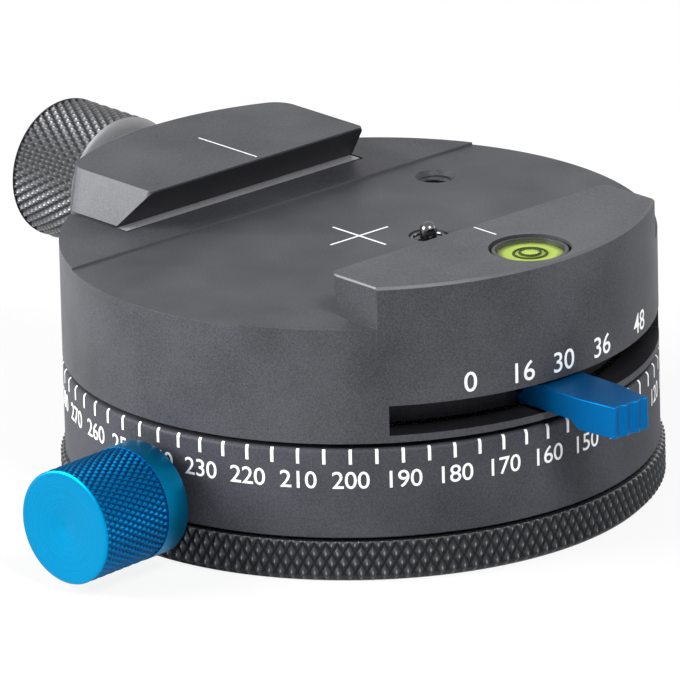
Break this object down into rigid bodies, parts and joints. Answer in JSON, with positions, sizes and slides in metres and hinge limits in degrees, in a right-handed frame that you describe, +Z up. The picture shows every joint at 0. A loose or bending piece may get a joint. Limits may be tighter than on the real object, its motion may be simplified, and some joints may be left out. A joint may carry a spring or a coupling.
{
  "type": "panoramic tripod head",
  "caption": "Round panoramic tripod head: dovetail quick-release clamp and spirit level on a rotor that clicks round a degree drum, with a lock knob and stop selector.",
  "frame": {"origin": "on the turning axis, at the floor of the dovetail channel", "axes": "+Z up along the turning axis, +X along the dovetail channel, +Y towards the moving jaw and its knob"},
  "size_m": [0.0741, 0.0848, 0.0306],
  "materials": {
    "anodised_grey": "satin anodised, dark grey",
    "anodised_black": "black anodised, knurled",
    "anodised_blue": "satin anodised, blue",
    "steel": "bright turned",
    "bronze": "plain turned",
    "black_plastic": "matt moulded",
    "brake_rubber": "plain",
    "level_liquid": "clear yellow-green",
    "level_glass": "clear"
  },
  "bodies": {
    "base": {"base_plate": "anodised_black", "tripod_bush": "steel", "base_screw_1": "steel", "base_screw_2": "steel", "base_screw_3": "steel", "base_screw_4": "steel", "scale_drum": "anodised_grey", "bearing_bush": "bronze", "thrust_washer": "bronze", "index_plate": "steel", "index_screw_1": "steel", "index_screw_2": "steel", "index_screw_3": "steel"},
    "lock_slider": {"brake_pad": "brake_rubber"},
    "lock_knob": {"lock_knob": "anodised_blue", "lock_stud": "steel"},
    "rotor": {"rotor_body": "anodised_grey", "spindle": "steel", "brake_drum": "steel", "disc_clip": "steel", "guide_pin_left": "steel", "guide_pin_right": "steel", "level_cup": "black_plastic", "level_liquid": "level_liquid", "level_glass": "level_glass", "pin_bush": "steel", "pin_spring": "steel"},
    "moving_jaw": {"moving_jaw": "anodised_grey", "jaw_spring_left": "steel", "jaw_spring_right": "steel"},
    "clamp_knob": {"clamp_knob": "anodised_black", "clamp_screw": "steel", "knob_washer": "steel"},
    "selector": {"selector_disc": "anodised_black", "selector_lever": "anodised_blue", "lever_screw_1": "steel", "lever_screw_2": "steel"},
    "detent_carriage": {"detent_carriage": "bronze", "detent_spring": "steel"},
    "detent_plunger": {"detent_plunger": "steel"},
    "safety_pin": {"safety_pin": "steel"}
  },
  "joints": [
    {"name": "pan", "type": "hinge", "parent": "base", "child": "rotor", "pos_m": [0, 0, 0], "axis": [0, 0, 1], "continuous": true},
    {"name": "lock_travel", "type": "slide", "parent": "base", "child": "lock_slider", "axis": [-0.9965, -0.0837, 0], "range_m": [-0.0004, 0.0006]},
    {"name": "lock_turn", "type": "hinge", "parent": "lock_slider", "child": "lock_knob", "pos_m": [0, 0, -0.01904], "axis": [-0.9965, -0.0837, 0], "range_deg": [-288, 432]},
    {"name": "jaw_travel", "type": "slide", "parent": "rotor", "child": "moving_jaw", "axis": [0, 1, 0], "range_m": [0, 0.0068], "deforming": ["jaw_spring_left", "jaw_spring_right"]},
    {"name": "clamp_turn", "type": "hinge", "parent": "moving_jaw", "child": "clamp_knob", "pos_m": [0, 0, -0.00317], "axis": [0, 1, 0], "range_deg": [0, 3060]},
    {"name": "selector_turn", "type": "hinge", "parent": "rotor", "child": "selector", "pos_m": [0, 0, 0], "axis": [0, 0, 1], "range_deg": [-20.8, 25.8]},
    {"name": "detent_travel", "type": "slide", "parent": "rotor", "child": "detent_carriage", "axis": [1, 0, 0], "range_m": [-0.00396, 0.00491]},
    {"name": "plunger_travel", "type": "slide", "parent": "detent_carriage", "child": "detent_plunger", "axis": [0, 0, 1], "range_m": [-0.0006, 0], "stiffness_N_per_m": 150, "deforming": ["detent_spring"]},
    {"name": "safety_pin_travel", "type": "slide", "parent": "rotor", "child": "safety_pin", "axis": [0, 0, 1], "range_m": [-0.0013, 0], "stiffness_N_per_m": 150, "springref_m": 0.0015, "deforming": ["pin_spring"]}
  ],
  "couplings": [
    {"joint": "lock_turn", "follows": "lock_travel", "rad_per_m": 12566},
    {"joint": "clamp_turn", "follows": "jaw_travel", "rad_per_m": 7854},
    {"joint": "detent_travel", "follows": "selector_turn", "m_per_rad": 0.010886}
  ]
}
